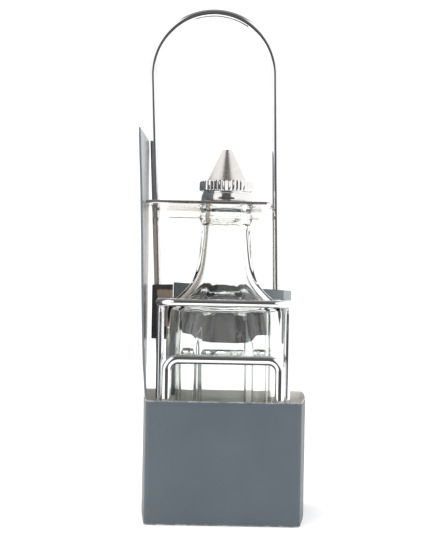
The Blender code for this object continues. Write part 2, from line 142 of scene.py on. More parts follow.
def sweep(bm, path, radius, closed=False, sides=24, dome=0.6):
    """A round wire along a path in millimetres; radius is a number or a function."""
    count = len(path)
    across = None
    layers = []
    for i, point in enumerate(path):
        ahead = path[(i + 1) % count] if closed or i < count - 1 else point
        behind = path[i - 1] if closed or i else point
        along = (ahead - behind).normalized()
        if across is None:
            across = along.orthogonal().normalized()
            if abs(along.z) < STEEP:
                across = along.cross(Vector((0, 0, 1))).normalized()
        across = (across - along * across.dot(along)).normalized()
        up = along.cross(across)
        r = radius(i / (count - 1)) if callable(radius) else radius
        ring = []
        for k in range(sides):
            angle = 2 * pi * k / sides
            ring.append(point + (across * cos(angle) + up * sin(angle)) * r)
        layers.append(ring)
    if not closed:
        for end, inner in ((0, 1), (-1, -2)):
            along = (path[end] - path[inner]).normalized()
            middle = path[end]
            ring = layers[end]
            extra = [[middle + (p - middle) * cos(a) + along * dome * sin(a) for p in ring]
                     for a in DOME_ANGLES]
            shift = along * dome
            moved = [[p - shift for p in layer] for layer in extra]
            layers[end] = [p - shift for p in ring]
            if end == 0:
                layers = moved[::-1] + layers
            else:
                layers = layers + moved
    rings = [[bm.verts.new(place(*p)) for p in layer] for layer in layers]
    skin(bm, rings, closed)
    if not closed:
        fan(bm, rings[0])
        fan(bm, rings[-1])


def wire(name, path, radius, material, closed=False, sides=24, gap=4.0):
    bm = bmesh.new()
    sweep(bm, spaced(path, gap, closed), radius, closed, sides)
    return finish_mesh(bm, name, [material])


def turned(name, profile, material, sides=96):
    """A ring turned about the bottle's axis from a closed (radius, height) profile."""
    bm = bmesh.new()
    layers = []
    for r, z in profile:
        ring = []
        for k in range(sides):
            angle = 2 * pi * k / sides
            ring.append(bm.verts.new(place(r * cos(angle), r * sin(angle), z)))
        layers.append(ring)
    skin(bm, layers, closed=True)
    return finish_mesh(bm, name, [material])


# ---------------------------------------------------------------- materials

class Recipe:
    """A material's node tree, with short calls to add and join nodes."""

    def __init__(self, name):
        self.material = bpy.data.materials.new(name)
        self.material.use_nodes = True
        self.tree = self.material.node_tree
        self.shader = self.tree.nodes["Principled BSDF"]
        self.where = self.add("ShaderNodeTexCoord").outputs["Object"]

    def add(self, kind, inputs=None, **settings):
        node = self.tree.nodes.new(kind)
        for key, value in settings.items():
            setattr(node, key, value)
        for key, value in (inputs or {}).items():
            self.put(node.inputs[key], value)
        return node

    def put(self, socket, value):
        if isinstance(value, bpy.types.NodeSocket):
            self.tree.links.new(value, socket)
        else:
            socket.default_value = value

    def set(self, **values):
        for key, value in values.items():
            self.put(self.shader.inputs[key.replace("_", " ")], value)

    def stretched(self, scale):
        node = self.add("ShaderNodeMapping", {"Vector": self.where, "Scale": scale})
        return node.outputs["Vector"]

    def grain(self, scale, detail=3.0, rough=0.55, stretch=None, warp=0.0):
        vector = self.stretched(stretch) if stretch else self.where
        node = self.add("ShaderNodeTexNoise", {"Vector": vector, "Scale": scale,
                        "Detail": detail, "Roughness": rough, "Distortion": warp})
        return node.outputs["Fac"]

    def ramp(self, fac, *stops):
        """Maps a value through (position, value) stops, values as greys or colours."""
        node = self.add("ShaderNodeValToRGB", {"Fac": fac})
        marks = node.color_ramp.elements
        while len(marks) < len(stops):
            marks.new(0.5)
        for mark, (position, value) in zip(marks, stops):
            mark.position = position
            grey = isinstance(value, (int, float))
            mark.color = (value, value, value, 1) if grey else (*value, 1)
        return node.outputs["Color"]

    def range(self, value, a, b, c, d):
        node = self.add("ShaderNodeMapRange", {"Value": value, "From Min": a,
                        "From Max": b, "To Min": c, "To Max": d})
        return node.outputs["Result"]

    def maths(self, operation, a, b=0.0):
        node = self.add("ShaderNodeMath", {0: a, 1: b}, operation=operation)
        return node.outputs["Value"]

    def mix(self, fac, a, b):
        node = self.add("ShaderNodeMix", data_type="RGBA")
        self.put(node.inputs[0], fac)
        for socket, value in ((node.inputs[6], a), (node.inputs[7], b)):
            if isinstance(value, tuple) and len(value) == 3:
                value = (*value, 1)
            self.put(socket, value)
        return node.outputs[2]

    def axis(self, letter):
        node = self.add("ShaderNodeSeparateXYZ", {"Vector": self.where})
        return node.outputs[letter]

    def facing(self, letter):
        normal = self.add("ShaderNodeNewGeometry").outputs["Normal"]
        node = self.add("ShaderNodeSeparateXYZ", {"Vector": normal})
        return node.outputs[letter]

    def bump(self, height, distance, strength=1.0):
        node = self.add("ShaderNodeBump", {"Height": height, "Distance": distance,
                        "Strength": strength})
        self.put(self.shader.inputs["Normal"], node.outputs["Normal"])


def shade(colour, factor, lift=0.0):
    """The colour made lighter or darker."""
    return tuple(min(1.0, c * factor + lift) for c in colour)


# How deep each bump is, in metres
PLATING_DEPTH, BRUSHED_DEPTH = 0.0000015, 0.00002
CARD_DEPTH, GASKET_DEPTH, GLASS_DEPTH = 0.00006, 0.00003, 0.0012
# How fine each grain is: a larger number is finer
SCRATCHES, SMUDGES = 900, 60
FIBRES, MOTTLE, SPECKS, PULP, RUBBING = 1500, 45, 2600, 700, 420
RUBBER_SPECKS, GLASS_RIPPLES, GLASS_SEEDS = 1800, 38, 900
PANEL_FRAY, FLAP_FRAY = 160, 330


def chrome(name, colour, rough, brush=None, depth=PLATING_DEPTH):
    """Plated metal: faint marks in the colour, roughness and surface."""
    r = Recipe(name)
    fine = r.grain(SCRATCHES, 4.0, stretch=brush)
    smudge = r.grain(SMUDGES, 3.0, warp=0.6)
    dark = shade(colour, 0.90)
    r.set(Metallic=1.0)
    r.set(Base_Color=r.mix(r.ramp(smudge, (0.35, 0.0), (0.75, 1.0)), colour, dark))
    total = r.maths("ADD", r.range(fine, 0.3, 0.8, rough * 0.6, rough * 1.5),
                    r.range(smudge, 0.4, 0.8, 0.0, 0.03))
    r.set(Roughness=total)
    r.bump(fine, depth, 0.5)
    return r.material


TORN_DEPTH = 2.5       # how deep torn card lies, in heights of its fibres


def card_recipe(name, colour, core, wear=None, torn=None, sheen=0.0, rough=0.55):
    """Printed card: fibres, mottling, edges worn to the core, torn places if given.

    Returns the recipe, and the colour that it has made.
    """
    r = Recipe(name)
    fibre = r.grain(FIBRES, 5.0, stretch=(1.0, 1.0, 0.35))
    mottle = r.grain(MOTTLE, 4.0)
    light, dark = shade(colour, 1.05, 0.002), shade(colour, 0.95)
    base = r.mix(r.ramp(mottle, (0.3, 0.0), (0.7, 1.0)), dark, light)
    specks = r.ramp(r.grain(SPECKS, 2.0), (0.66, 0.0), (0.74, 0.25))
    base = r.mix(specks, base, light)
    height = fibre
    for make_mask in (wear, torn):
        if make_mask is None:
            continue
        mask = make_mask(r)
        pulp = r.mix(r.grain(PULP, 5.0), shade(core, 0.82), core)
        base = r.mix(mask, base, pulp)
        height = r.maths("SUBTRACT", height, r.maths("MULTIPLY", mask, TORN_DEPTH))
    r.set(Base_Color=base, Roughness=r.range(fibre, 0.3, 0.7, rough - 0.08, rough + 0.1))
    r.set(Specular_IOR_Level=0.5, Coat_Weight=sheen, Coat_Roughness=0.22)
    r.bump(height, CARD_DEPTH, 0.6)
    return r, base


def card(*args, **settings):
    return card_recipe(*args, **settings)[0].material


def worn_rims(low, high, soft=0.7 * MM):
    """Rims at two heights where the print has rubbed off in places."""
    def mask(r):
        z = r.axis("Z")
        near = r.maths("MAXIMUM", r.range(z, high - soft, high, 0, 1),
                       r.range(z, low + soft, low, 0, 1))
        rubbed = r.ramp(r.grain(RUBBING, 4.0), (0.4, 0.1), (0.65, 1.0))
        return r.maths("MULTIPLY", near, rubbed)
    return mask


CHROME = chrome("chrome_wire_plated", (0.86, 0.86, 0.87), 0.045)
CAP_CHROME = chrome("cap_chrome_plated", (0.80, 0.79, 0.78), 0.10)
PLATE = chrome("neck_plate_polished", (0.79, 0.76, 0.72), 0.16, brush=(0.06, 1.0, 1.0))
CONE = chrome("cone_brushed_steel", (0.74, 0.71, 0.68), 0.30, brush=(1.0, 1.0, 9.0),
              depth=BRUSHED_DEPTH)


def gasket_material():
    """Off-white rubber with fine specks."""
    r = Recipe("gasket_white_rubber")
    speck = r.grain(RUBBER_SPECKS, 3.0)
    r.set(Base_Color=r.mix(speck, (0.62, 0.60, 0.55), (0.78, 0.76, 0.71)))
    r.set(Roughness=r.range(speck, 0.3, 0.7, 0.5, 0.7))
    r.bump(speck, GASKET_DEPTH, 0.5)
    return r.material


GLASS_TINT, GLASS_DENSITY = (0.84, 0.88, 0.80, 1), 10.0


def glass_material():
    """Clear moulded glass: slow ripples, a few seeds, and green in its depth."""
    r = Recipe("clear_moulded_glass")
    ripple = r.grain(GLASS_RIPPLES, 2.0, stretch=(1.0, 1.0, 0.35), warp=0.3)
    seeds = r.grain(GLASS_SEEDS, 1.0)
    tint = r.mix(ripple, (0.965, 0.985, 0.972), (0.985, 0.992, 0.985))
    r.set(Base_Color=tint, Transmission_Weight=1.0, IOR=1.5)
    r.set(Roughness=r.range(seeds, 0.4, 0.9, 0.0, 0.02))
    r.bump(ripple, GLASS_DEPTH, 0.35)
    depth = r.add("ShaderNodeVolumeAbsorption", {"Color": GLASS_TINT,
                  "Density": GLASS_DENSITY})
    out = r.tree.nodes["Material Output"]
    r.tree.links.new(depth.outputs["Volume"], out.inputs["Volume"])
    return r.material


GLASS = glass_material()
GASKET = gasket_material()

GREY = (0.064, 0.081, 0.097)
PANEL_GREY = (0.115, 0.135, 0.150)
BAND_GREY = (0.205, 0.228, 0.248)
# BAND_LEFT_SHADE is painted shade, darkening the band's run towards its left end
BAND_LEFT_SHADE, BAND_PALE = (0.13, 0.145, 0.155), (0.42, 0.445, 0.46)
# BAND_BOTTLE_SHADOW is a painted shadow of the bottle on the band behind it
BAND_BOTTLE_SHADOW = (0.016, 0.012, 0.011)
SLATE = (0.063, 0.065, 0.073)
RIM_GREY, INNER_GREY = (0.45, 0.46, 0.45), (0.90, 0.885, 0.84)
CORE, PANEL_CORE, FLAP_CORE = (0.56, 0.48, 0.38), (0.50, 0.41, 0.32), (0.50, 0.42, 0.33)

SLEEVE_LOW, SLEEVE_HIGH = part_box("sleeve_wrap")
SLEEVE_OUT = card("sleeve_printed_grey", GREY, RIM_GREY, sheen=0.15,
                  wear=worn_rims(SLEEVE_LOW[2], SLEEVE_HIGH[2]))
SLEEVE_IN = card("sleeve_bare_board", INNER_GREY, CORE, rough=0.75)
PANEL_HIGH, FLAP_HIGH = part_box("side_panel")[1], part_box("band_flap")[1]
BAND_LOW, BAND_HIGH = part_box("back_band")


def ragged(r, scale, reach, detail=5.0, rough=0.55):
    """An uneven shift, up to half the reach either way, that frays a torn edge."""
    return r.maths("MULTIPLY", r.maths("SUBTRACT", r.grain(scale, detail, rough), 0.5),
                   reach)


def both(r, *masks):
    """Where every mask holds."""
    out = masks[0]
    for mask in masks[1:]:
        out = r.maths("MULTIPLY", out, mask)
    return out


def panel_tear(r):
    """A strip where the card pulled away with the glue, on the inner face."""
    rag = ragged(r, PANEL_FRAY, 12 * MM)
    y = r.maths("ADD", r.axis("Y"), rag)
    z = r.maths("ADD", r.axis("Z"), r.maths("MULTIPLY", rag, 3.0))
    inner = r.range(r.facing("X"), 0.6, 0.7, 0, 1)
    start = PANEL_HIGH[1] - 34 * MM
    return both(r, r.range(y, start, start + MM, 0, 1), inner,
                r.range(z, 85 * MM, 86 * MM, 0, 1), r.range(z, 151 * MM, 150 * MM, 0, 1))


def flap_tear(r):
    """A ragged patch of bare core: broad at the top, running down to a tongue."""
    rag = ragged(r, FLAP_FRAY, 4.2 * MM, 6.0, 0.7)
    x = r.maths("ADD", r.axis("X"), rag)
    z = r.maths("ADD", r.axis("Z"), rag)
    front = r.range(r.facing("Y"), -0.6, -0.7, 0, 1)
    slant = r.range(z, 93.5 * MM, 103.5 * MM, -5.8 * MM, -8.4 * MM)
    inside = r.maths("SUBTRACT", x, r.maths("ADD", slant, FLAP_HIGH[0]))
    return both(r, r.range(inside, 0.0, 0.2 * MM, 0, 1), front,
                r.range(z, 110.1 * MM, 109.9 * MM, 0, 1),
                r.range(z, 90.5 * MM, 90.8 * MM, 0, 1))


def band_material():
    """The band's run: painted shade at the left, a painted shadow of the bottle behind it,
    pale at its right end.
    """
    r, source = card_recipe("band_printed_grey_painted_shade", BAND_GREY, CORE)
    x = r.axis("X")
    strip = r.range(x, BAND_HIGH[0] - 4.1 * MM, BAND_HIGH[0] - 3.9 * MM, 0, 1)
    # Painted shade: the run darkens towards its left end
    left = r.range(x, BAND_LOW[0], BAND_HIGH[0], 0.45, 0.0)
    shaded = r.mix(left, source, BAND_LEFT_SHADE)
    # Painted shadow of the bottle: a dark patch on the front face behind it, wider towards
    # the foot
    spread = r.range(r.axis("Z"), BAND_LOW[2], BAND_HIGH[2], 30 * MM, 15 * MM)
    aside = r.maths("ABSOLUTE", r.maths("SUBTRACT", x, AXIS.x - MM))
    front = r.range(r.facing("Y"), -0.6, -0.7, 0, 1)
    dark = both(r, r.range(r.maths("SUBTRACT", aside, spread), 0.0, 1.2 * MM, 1, 0), front)
    shaded = r.mix(dark, shaded, BAND_BOTTLE_SHADOW)
    r.set(Base_Color=r.mix(strip, shaded, BAND_PALE))
    return r.material


PANEL_CARD = card("panel_printed_grey", PANEL_GREY, PANEL_CORE, torn=panel_tear,
                  sheen=0.8, rough=0.42)
FLAP_CARD = card("flap_printed_slate", SLATE, FLAP_CORE, torn=flap_tear)
BAND_CARD = band_material()

# ---------------------------------------------------------------- card sleeve

SLEEVE_FRONT = (-36.2, 37.3, -38.0)      # left x, right x, y
SLEEVE_BACK = (-41.3, 41.8, 40.5)
SLEEVE_WALL = 0.5
BULGES = (-0.5, 1.5)                     # how far the left and right walls bow
CORNER_RADIUS, LEAST_RADIUS = 2.2, 1.5
SIDE_RUN, WALL_STEP = 20, 3.0            # a side wall is longer than this; point spacing


def sleeve_outline(inset, steps=7):
    """The sleeve from above, in millimetres: wider at the back, with bulging sides."""
    front, back = SLEEVE_FRONT[2] + inset, SLEEVE_BACK[2] - inset
    corners = [(SLEEVE_FRONT[0] + inset, front, 0), (SLEEVE_FRONT[1] - inset, front, 0),
               (SLEEVE_BACK[1] - inset, back, 0), (SLEEVE_BACK[0] + inset, back, 0)]
    rounded = fillet(corners, max(LEAST_RADIUS, CORNER_RADIUS - inset), steps, closed=True)
    path = []
    for i, here in enumerate(rounded):
        ahead = rounded[(i + 1) % len(rounded)]
        run = (ahead - here).length
        count = max(1, int(run / WALL_STEP))
        on_side = abs(ahead.y - here.y) > SIDE_RUN
        bulge = BULGES[here.x > 0] if on_side else 0.0
        for k in range(count):
            point = here.lerp(ahead, k / count)
            point.x += bulge * sin(pi * k / count)
            path.append(point)
    return path


def make_sleeve():
    """The open-topped wrap: two walls with slight dents, joined by rounded rims."""
    dent_scale, dent_rise, dent_depth, lip_round = 0.03, 0.035, 0.2, 0.12
    top = SLEEVE_HIGH[2] / MM
    heights = [0.0, 0.15] + [top * k / 16 for k in range(1, 16)] + [top - 0.2, top]
    outer, inner = sleeve_outline(0.0), sleeve_outline(SLEEVE_WALL)
    bm = bmesh.new()

    def wall(outline, direction):
        layers = []
        for z in heights:
            ring = []
            for p in outline:
                normal = Vector((p.x, p.y, 0)).normalized()
                spot = Vector((p.x * dent_scale, p.y * dent_scale, z * dent_rise))
                dent = noise.noise(spot) * dent_depth
                lip = lip_round if z in (0.0, top) else 0.0
                q = p - normal * (abs(dent) + lip * direction)
                ring.append(bm.verts.new(place(q.x, q.y, z)))
            layers.append(ring)
        return layers

    out = wall(outer, 1)
    into = wall(inner, -1)
    skin(bm, out)
    within = skin(bm, into)
    rims = skin(bm, [out[-1], into[-1]]) + skin(bm, [out[0], into[0]])
    for face in within + rims:
        face.material_index = 1
    obj = finish_mesh(bm, "sleeve_wrap_card", [SLEEVE_OUT, SLEEVE_IN], 60)
    settle(obj, "sleeve", "card_grey", "sleeve_wrap")


EDGE_SHARE = 0.35      # how much of a sheet's half thickness its cut edges lose


def sheet(name, corners, thick, materials, nx, nz):
    """A card sheet from four corners, with soft cut edges."""
    bm = bmesh.new()
    a, b, c, d = (Vector(p) for p in corners)
    normal = (b - a).cross(d - a).normalized()
    sides = []
    for face in (1, -1):
        grid = []
        for j in range(nz + 1):
            row = []
            for i in range(nx + 1):
                u, v = i / nx, j / nz
                p = a.lerp(b, u).lerp(d.lerp(c, u), v)
                edge = 0.0 if 0 < i < nx and 0 < j < nz else EDGE_SHARE * thick / 2
                p = p + normal * face * (thick / 2 - edge)
                row.append(bm.verts.new(place(*p)))
            grid.append(row)
        sides.append(grid)
        for j in range(nz):
            for i in range(nx):
                bm.faces.new((grid[j][i], grid[j][i + 1], grid[j + 1][i + 1], grid[j + 1][i]))
    front, back = sides
    rim = [(0, i) for i in range(nx)] + [(j, nx) for j in range(nz)]
    rim += [(nz, i) for i in range(nx, 0, -1)] + [(j, 0) for j in range(nz, 0, -1)]
    for (j, i), (jj, ii) in zip(rim, rim[1:] + rim[:1]):
        bm.faces.new((front[j][i], front[jj][ii], back[jj][ii], back[j][i]))
    return finish_mesh(bm, name, materials, 30)


def make_floor_card():
    """The sheet on the sleeve's bottom, a little clear of its walls."""
    sleeve_half = 40
    outline = sleeve_outline(0.9, 4)
    bm = bmesh.new()
    layers = []
    for z, inset in ((0.02, 0.0), (0.1, 0.0), (0.42, 0.0), (0.5, 0.15)):
        share = 1 - inset / sleeve_half
        layers.append([bm.verts.new(place(p.x * share, p.y * share, z)) for p in outline])
    skin(bm, layers)
    fan(bm, layers[0])
    fan(bm, layers[-1])
    settle(finish_mesh(bm, "sleeve_floor_card", [SLEEVE_IN]), "sleeve", "card_grey",
           "sleeve_floor")


# The panel from below to above: height, x at its front edge, x at PANEL_REAR
PANEL_FRONT, PANEL_REAR = -30.0, 33.4
PANEL_END = 38.6                  # past PANEL_REAR, so that the handle's leg mirrors it
PANEL_ROWS = [(58.2, -36.4, -40.6), (68.0, -37.2, -40.4), (75.0, -37.8, -40.2),
              (89.0, -38.4, -40.2), (111.0, -39.1, -40.3), (132.0, -39.6, -40.4),
              (160.0, -40.5, -40.8), (187.3, -41.8, -41.1)]


def make_panel():
    """The tall board stands on the sleeve's left wall and twists outwards as it rises."""
    half, rounding, shy_edge = 0.6, 0.22, 0.05
    front, back, across = PANEL_FRONT, PANEL_END, 16
    profile = smooth_rows(PANEL_ROWS, 4.0)
    bm = bmesh.new()
    layers = []
    for row, (z, front_x, rear_x) in enumerate(profile):
        rim = rounding if row in (0, len(profile) - 1) else 0.0
        outer = [(front + (back - front) * k / across, 0.0) for k in range(across + 1)]
        outer[0] = (front + 0.25, shy_edge)
        outer[-1] = (back - 0.25, shy_edge)
        ring = []
        for side in (-1, 1):
            run = outer if side < 0 else outer[::-1]
            for y, shy in run:
                t = (y - front) / (PANEL_REAR - front)
                x = front_x + (rear_x - front_x) * t
                ring.append(bm.verts.new(place(x + side * (half - shy - rim), y, z)))
            end = back if side < 0 else front
            x = front_x + (rear_x - front_x) * (end - front) / (PANEL_REAR - front)
            for lean in (side * (half - 0.25), -side * (half - 0.25)):
                ring.append(bm.verts.new(place(x + lean, end, z)))
        layers.append(ring)
    skin(bm, layers)
    fan(bm, layers[0])
    fan(bm, layers[-1])
    obj = finish_mesh(bm, "side_panel_board", [PANEL_CARD], 35)
    settle(obj, "sleeve", "card_grey", "side_panel")


def smooth_rows(rows, gap):
    """The rows with straight steps between them cut to the gap in height."""
    out = []
    for a, b in zip(rows, rows[1:]):
        count = max(1, int((b[0] - a[0]) / gap))
        out += [tuple(p + (q - p) * k / count for p, q in zip(a, b)) for k in range(count)]
    out.append(rows[-1])
    return out


def make_band():
    """The card behind the bottle: a dark flap at the left, then the long run."""
    y, thick = 34.25, 0.5
    flap = [(-37.6, y, 84.6), (-26.8, y, 84.2), (-26.8, y, 112.9), (-37.6, y, 112.5)]
    run = [(-26.5, y, 83.4), (34.6, y, 83.0), (34.6, y, 110.6), (-26.5, y, 114.0)]
    settle(sheet("band_flap_card", flap, thick, [FLAP_CARD], 12, 20), "sleeve",
           "card_dark", "band_flap")
    settle(sheet("back_band_card", run, thick, [BAND_CARD], 40, 16), "sleeve",
           "card_grey", "back_band")


# ---------------------------------------------------------------- wire carrier

WIRE_Z = 3.15                      # middle of the wires that lie on the floor card
HANDLE_RADIUS, RING_RADIUS, BASE_RADIUS = 2.25, 1.8, 2.3
RING_HALF, RING_Z = 31.2, 104.4
FRAME_X, FRAME_Y = 24.6, 26.2
GUARD_X, GUARD_TOP = 26.85, 77.6
LEG_X, LEG_Y, RAIL_X = 30.4, -24, 11.0
HINGE_Y, HINGE_Z = 41.95, 154.2
WELD_GAP = 0.3                     # what the CAD leaves between welded wires


def make_handle():
    """The hoop: two feet on the floor card, leaning legs and a round arch."""
    left, right, y, front, bend = -30.0, 29.2, 37.3, -24.0, 8.0
    arch_x, arch_z, arch_r = -7.6, 222.4, 31.8
    start = fillet([(left, front, WIRE_Z), (left, y, WIRE_Z), (arch_x - arch_r, y, arch_z)],
                   bend, 12)[:-1]
    arch, steps = [], 64
    for k in range(steps + 1):
        angle = pi - pi * k / steps
        arch.append(Vector((arch_x + arch_r * cos(angle), y, arch_z + arch_r * sin(angle))))
    end = fillet([(arch_x + arch_r, y, arch_z), (right, y, WIRE_Z), (right, front, WIRE_Z)],
                 bend, 12)[1:]
    obj = wire("handle_hoop_wire", start + arch + end, HANDLE_RADIUS, CHROME, sides=32)
    settle(obj, "carrier", "chrome_wire", "handle_hoop")


def loop(name, corners, radii, radius, node, steps=12):
    path = fillet(corners, radii, steps, closed=True)
    obj = wire(name, path, radius, CHROME, closed=True, sides=32)
    settle(obj, "carrier", "chrome_wire", node)


def square(half_x, half_y, z):
    return [(-half_x, -half_y, z), (half_x, -half_y, z), (half_x, half_y, z),
            (-half_x, half_y, z)]


def make_loops():
    loop("upper_ring_wire", square(RING_HALF, RING_HALF, RING_Z), 9.0, RING_RADIUS,
         "upper_ring")
    loop("base_frame_wire", square(FRAME_X, FRAME_Y, WIRE_Z), 7.0, BASE_RADIUS,
         "base_frame")
    bends = [9.0, 9.0, 5.6, 5.6]
    for name, y in (("front_guard", -RING_HALF), ("rear_guard", RING_HALF)):
        corners = [(-GUARD_X, y, WIRE_Z), (GUARD_X, y, WIRE_Z), (GUARD_X, y, GUARD_TOP),
                   (-GUARD_X, y, GUARD_TOP)]
        loop(name + "_wire", corners, bends, BASE_RADIUS, name, 14)


def nugget(name, at, direction, radius, length):
    """A resistance-weld swelling where two wires meet."""
    along = Vector(direction).normalized() * length / 2
    path = [Vector(at) + along * (k / 8 - 1) for k in range(17)]
    bm = bmesh.new()
    tip, fullness = 0.35, 0.6
    sweep(bm, path, lambda t: radius * (tip + (1 - tip) * sin(pi * t) ** fullness),
          False, 16, 0.1)
    obj = finish_mesh(bm, name, [CHROME])
    settle(obj, "carrier", "chrome_wire")


def make_legs_and_rails():
    foot = WIRE_Z + HANDLE_RADIUS + WELD_GAP
    top = RING_Z - RING_RADIUS - WELD_GAP
    for side, node in ((-1, "ring_leg_left"), (1, "ring_leg_right")):
        x = side * LEG_X
        obj = wire(node + "_wire", [Vector((x, LEG_Y, foot)), Vector((x, LEG_Y, top))],
                   RING_RADIUS, CHROME, gap=3.0, sides=28)
        settle(obj, "carrier", "chrome_wire", node)
        nugget("weld_ring_" + node[9:], (x, LEG_Y, top + 0.1), (0, 0, 1), 1.5, 3.0)
        nugget("weld_foot_" + node[9:], (x * 0.985, LEG_Y, foot - 0.2), (0, 0, 1), 1.7,
               3.0)
    reach = FRAME_Y - BASE_RADIUS - WELD_GAP
    for side, node in ((-1, "base_rail_left"), (1, "base_rail_right")):
        x = side * RAIL_X
        path = [Vector((x, -reach, WIRE_Z)), Vector((x, reach, WIRE_Z))]
        settle(wire(node + "_wire", path, BASE_RADIUS, CHROME), "carrier", "chrome_wire",
               node)
        for end in (-1, 1):
            nugget("weld_" + node[5:] + ("_front" if end < 0 else "_rear"),
                   (x, end * (reach + 0.2), WIRE_Z), (0, 1, 0), 2.0, 3.0)


def make_crossbar():
    """The hinge's rod with a domed cap on each end."""
    y, z = HINGE_Y, HINGE_Z
    left, right, radius = -39.7, 24.8, 1.6
    cap_radius, cap_length, taper = 2.1, 2.7, 0.1
    bar = wire("hinge_crossbar_rod", [Vector((left, y, z)), Vector((right, y, z))], radius,
               CHROME, sides=28)
    settle(bar, "carrier", "chrome_wire", "hinge_crossbar")
    for side, node, x in ((-1, "crossbar_cap_left", left), (1, "crossbar_cap_right", right)):
        path = [Vector((x + side * (WELD_GAP + cap_length * k / 8), y, z))
                for k in range(9)]
        bm = bmesh.new()
        sweep(bm, path, lambda t: cap_radius * (1 - taper * (1 - t)), False, 28, 1.2)
        settle(finish_mesh(bm, node + "_dome", [CHROME]), "carrier", "chrome_wire", node)


# ---------------------------------------------------------------- neck plate

PLATE_TILT = radians(1.0)
PLATE_LEFT, PLATE_RIGHT, PLATE_FRONT, PLATE_REAR = -34.0, 21.8, -20.0, 37.6
PLATE_THICK, FRONT_Z = 1.5, 152.75
EAR_LEFT, EAR_REAR = -38.9, -8.0


def plate_mid(y):
    """Height of the plate's middle surface, which falls towards the hinge."""
    return FRONT_Z - (y - PLATE_FRONT) * sin(PLATE_TILT)


def make_plate():
    """A pressed sheet with an ear at the left, and a neck hole with a rolled rim."""
    corners = [(EAR_LEFT, PLATE_FRONT, 0), (PLATE_RIGHT, PLATE_FRONT, 0),
               (PLATE_RIGHT, PLATE_REAR, 0), (PLATE_LEFT, PLATE_REAR, 0),
               (PLATE_LEFT, EAR_REAR, 0), (EAR_LEFT, EAR_REAR, 0)]
    outline = fillet(corners, [2.6, 3.0, 3.0, 3.0, 2.0, 2.6], 8, True)
    edge = spaced(outline, 2.0, True)
    half, soft, border, least_turn = PLATE_THICK / 2, 0.4, 0.45, 0.004
    bore, mouth, rim = 15.2, 15.5, 16.4
    angles = [atan2(edge[0].y, edge[0].x)]
    for p in edge[1:]:
        step = (atan2(p.y, p.x) - angles[-1] + pi) % (2 * pi) - pi
        angles.append(angles[-1] + max(step, least_turn))
    centre = Vector(((PLATE_LEFT + PLATE_RIGHT) / 2, (PLATE_FRONT + PLATE_REAR) / 2, 0))
    inset = [p + (centre - p).normalized() * border for p in edge]
    bm = bmesh.new()

    def layer(points, lift):
        return [bm.verts.new(place(p.x, p.y, plate_mid(p.y) + lift)) for p in points]

    def hole(radius):
        return [Vector((radius * cos(a), radius * sin(a), 0)) for a in angles]

    blend = [h.lerp(e, 0.5) for h, e in zip(hole(rim), inset)]
    rings = [layer(hole(bore), soft), layer(hole(bore), -soft), layer(hole(mouth), -half),
             layer(hole(rim), -half), layer(blend, -half), layer(inset, -half),
             layer(edge, -half + soft), layer(edge, half - soft), layer(inset, half),
             layer(blend, half), layer(hole(rim), half), layer(hole(mouth), half)]
    skin(bm, rings, closed=True)
    plate = finish_mesh(bm, "neck_plate_sheet", [PLATE], 35)
    settle(plate, "neck_plate", "plate_chrome", "neck_plate")


def make_flange():
    """The plate's rear edge turned down, its lower edge leaning back."""
    drop, side_gap, lean, pivot = 3.6, 3.0, tan(radians(14.0)), 2.2
    low = plate_mid(PLATE_REAR) - PLATE_THICK / 2 - drop
    # Height over the lower edge, and how far in each end is cut there
    rows = [(0.0, 1.6), (0.25, 0.9), (0.6, 0.5), (2.0, 0.1), (3.3, 0.0), (4.4, 0.0)]
    bm = bmesh.new()
    layers = []
    for rise, cut in rows:
        y = PLATE_REAR - 0.95 + (pivot - rise) * lean
        thin = 0.35 if rise == 0.0 else 0.5
        near, far = PLATE_LEFT + side_gap + cut, PLATE_RIGHT - side_gap - cut
        ring = []
        for side in (1, -1):
            for k in range(25):
                share = k / 24 if side > 0 else 1 - k / 24
                ring.append(place(near + (far - near) * share, y + side * thin, low + rise))
        layers.append([bm.verts.new(p) for p in ring])
    skin(bm, layers)
    fan(bm, layers[0])
    fan(bm, layers[-1])
    flange = finish_mesh(bm, "neck_plate_flange", [PLATE], 35)
    settle(flange, "neck_plate", "plate_chrome")


def make_knuckles():
    """Straps rolled round the crossbar, each with its leaf lying on the plate."""
    outer, bore, half_width, leaf_end, leaf_thick = 2.5, 1.9, 4.0, -11.0, 0.8
    turns, lengths = 40, 8
    low = plate_mid(HINGE_Y + leaf_end) + PLATE_THICK / 2 + WELD_GAP - HINGE_Z
    top = low + leaf_thick
    first, last = pi - asin(top / outer), -pi - asin(low / outer)
    for node, middle in (("hinge_knuckle_left", -22.0), ("hinge_knuckle_right", 10.0)):
        ring = [(leaf_end, top - 0.1), (leaf_end + 0.2, top)]
        ring += [(leaf_end * (1 - k / lengths) + outer * cos(first) * k / lengths, top)
                 for k in range(1, lengths)]
        for k in range(turns + 1):
            angle = first + (last - first) * k / turns
            ring.append((outer * cos(angle), outer * sin(angle)))
        ring += [(leaf_end * k / lengths + outer * cos(last) * (1 - k / lengths), low)
                 for k in range(1, lengths)]
        ring += [(leaf_end + 0.2, low), (leaf_end, low + 0.1)]
        hole = [(bore * cos(pi - 2 * pi * k / turns), bore * sin(pi - 2 * pi * k / turns))
                for k in range(turns)]
        bm = bmesh.new()
        ends = [[[bm.verts.new(place(middle + x, HINGE_Y + u, HINGE_Z + v))
                  for u, v in outline] for outline in (ring, hole)]
                for x in (-half_width, half_width)]
        for near, far in zip(*ends):
            skin(bm, [near, far])
        for outlines in ends:
            edges = []
            for outline in outlines:
                for pair in zip(outline, outline[1:] + outline[:1]):
                    edges.append(bm.edges.get(pair) or bm.edges.new(pair))
            bmesh.ops.triangle_fill(bm, edges=edges, use_beauty=True)
        knuckle = finish_mesh(bm, node + "_strap", [PLATE], 30)
        bevel = knuckle.modifiers.new("edge", "BEVEL")
        bevel.width = 0.12 * MM
        bevel.segments = 2
        bevel.limit_method = "ANGLE"
        bevel.angle_limit = radians(50)
        settle(knuckle, "neck_plate", "plate_chrome", node)


# ---------------------------------------------------------------- bottle and cap

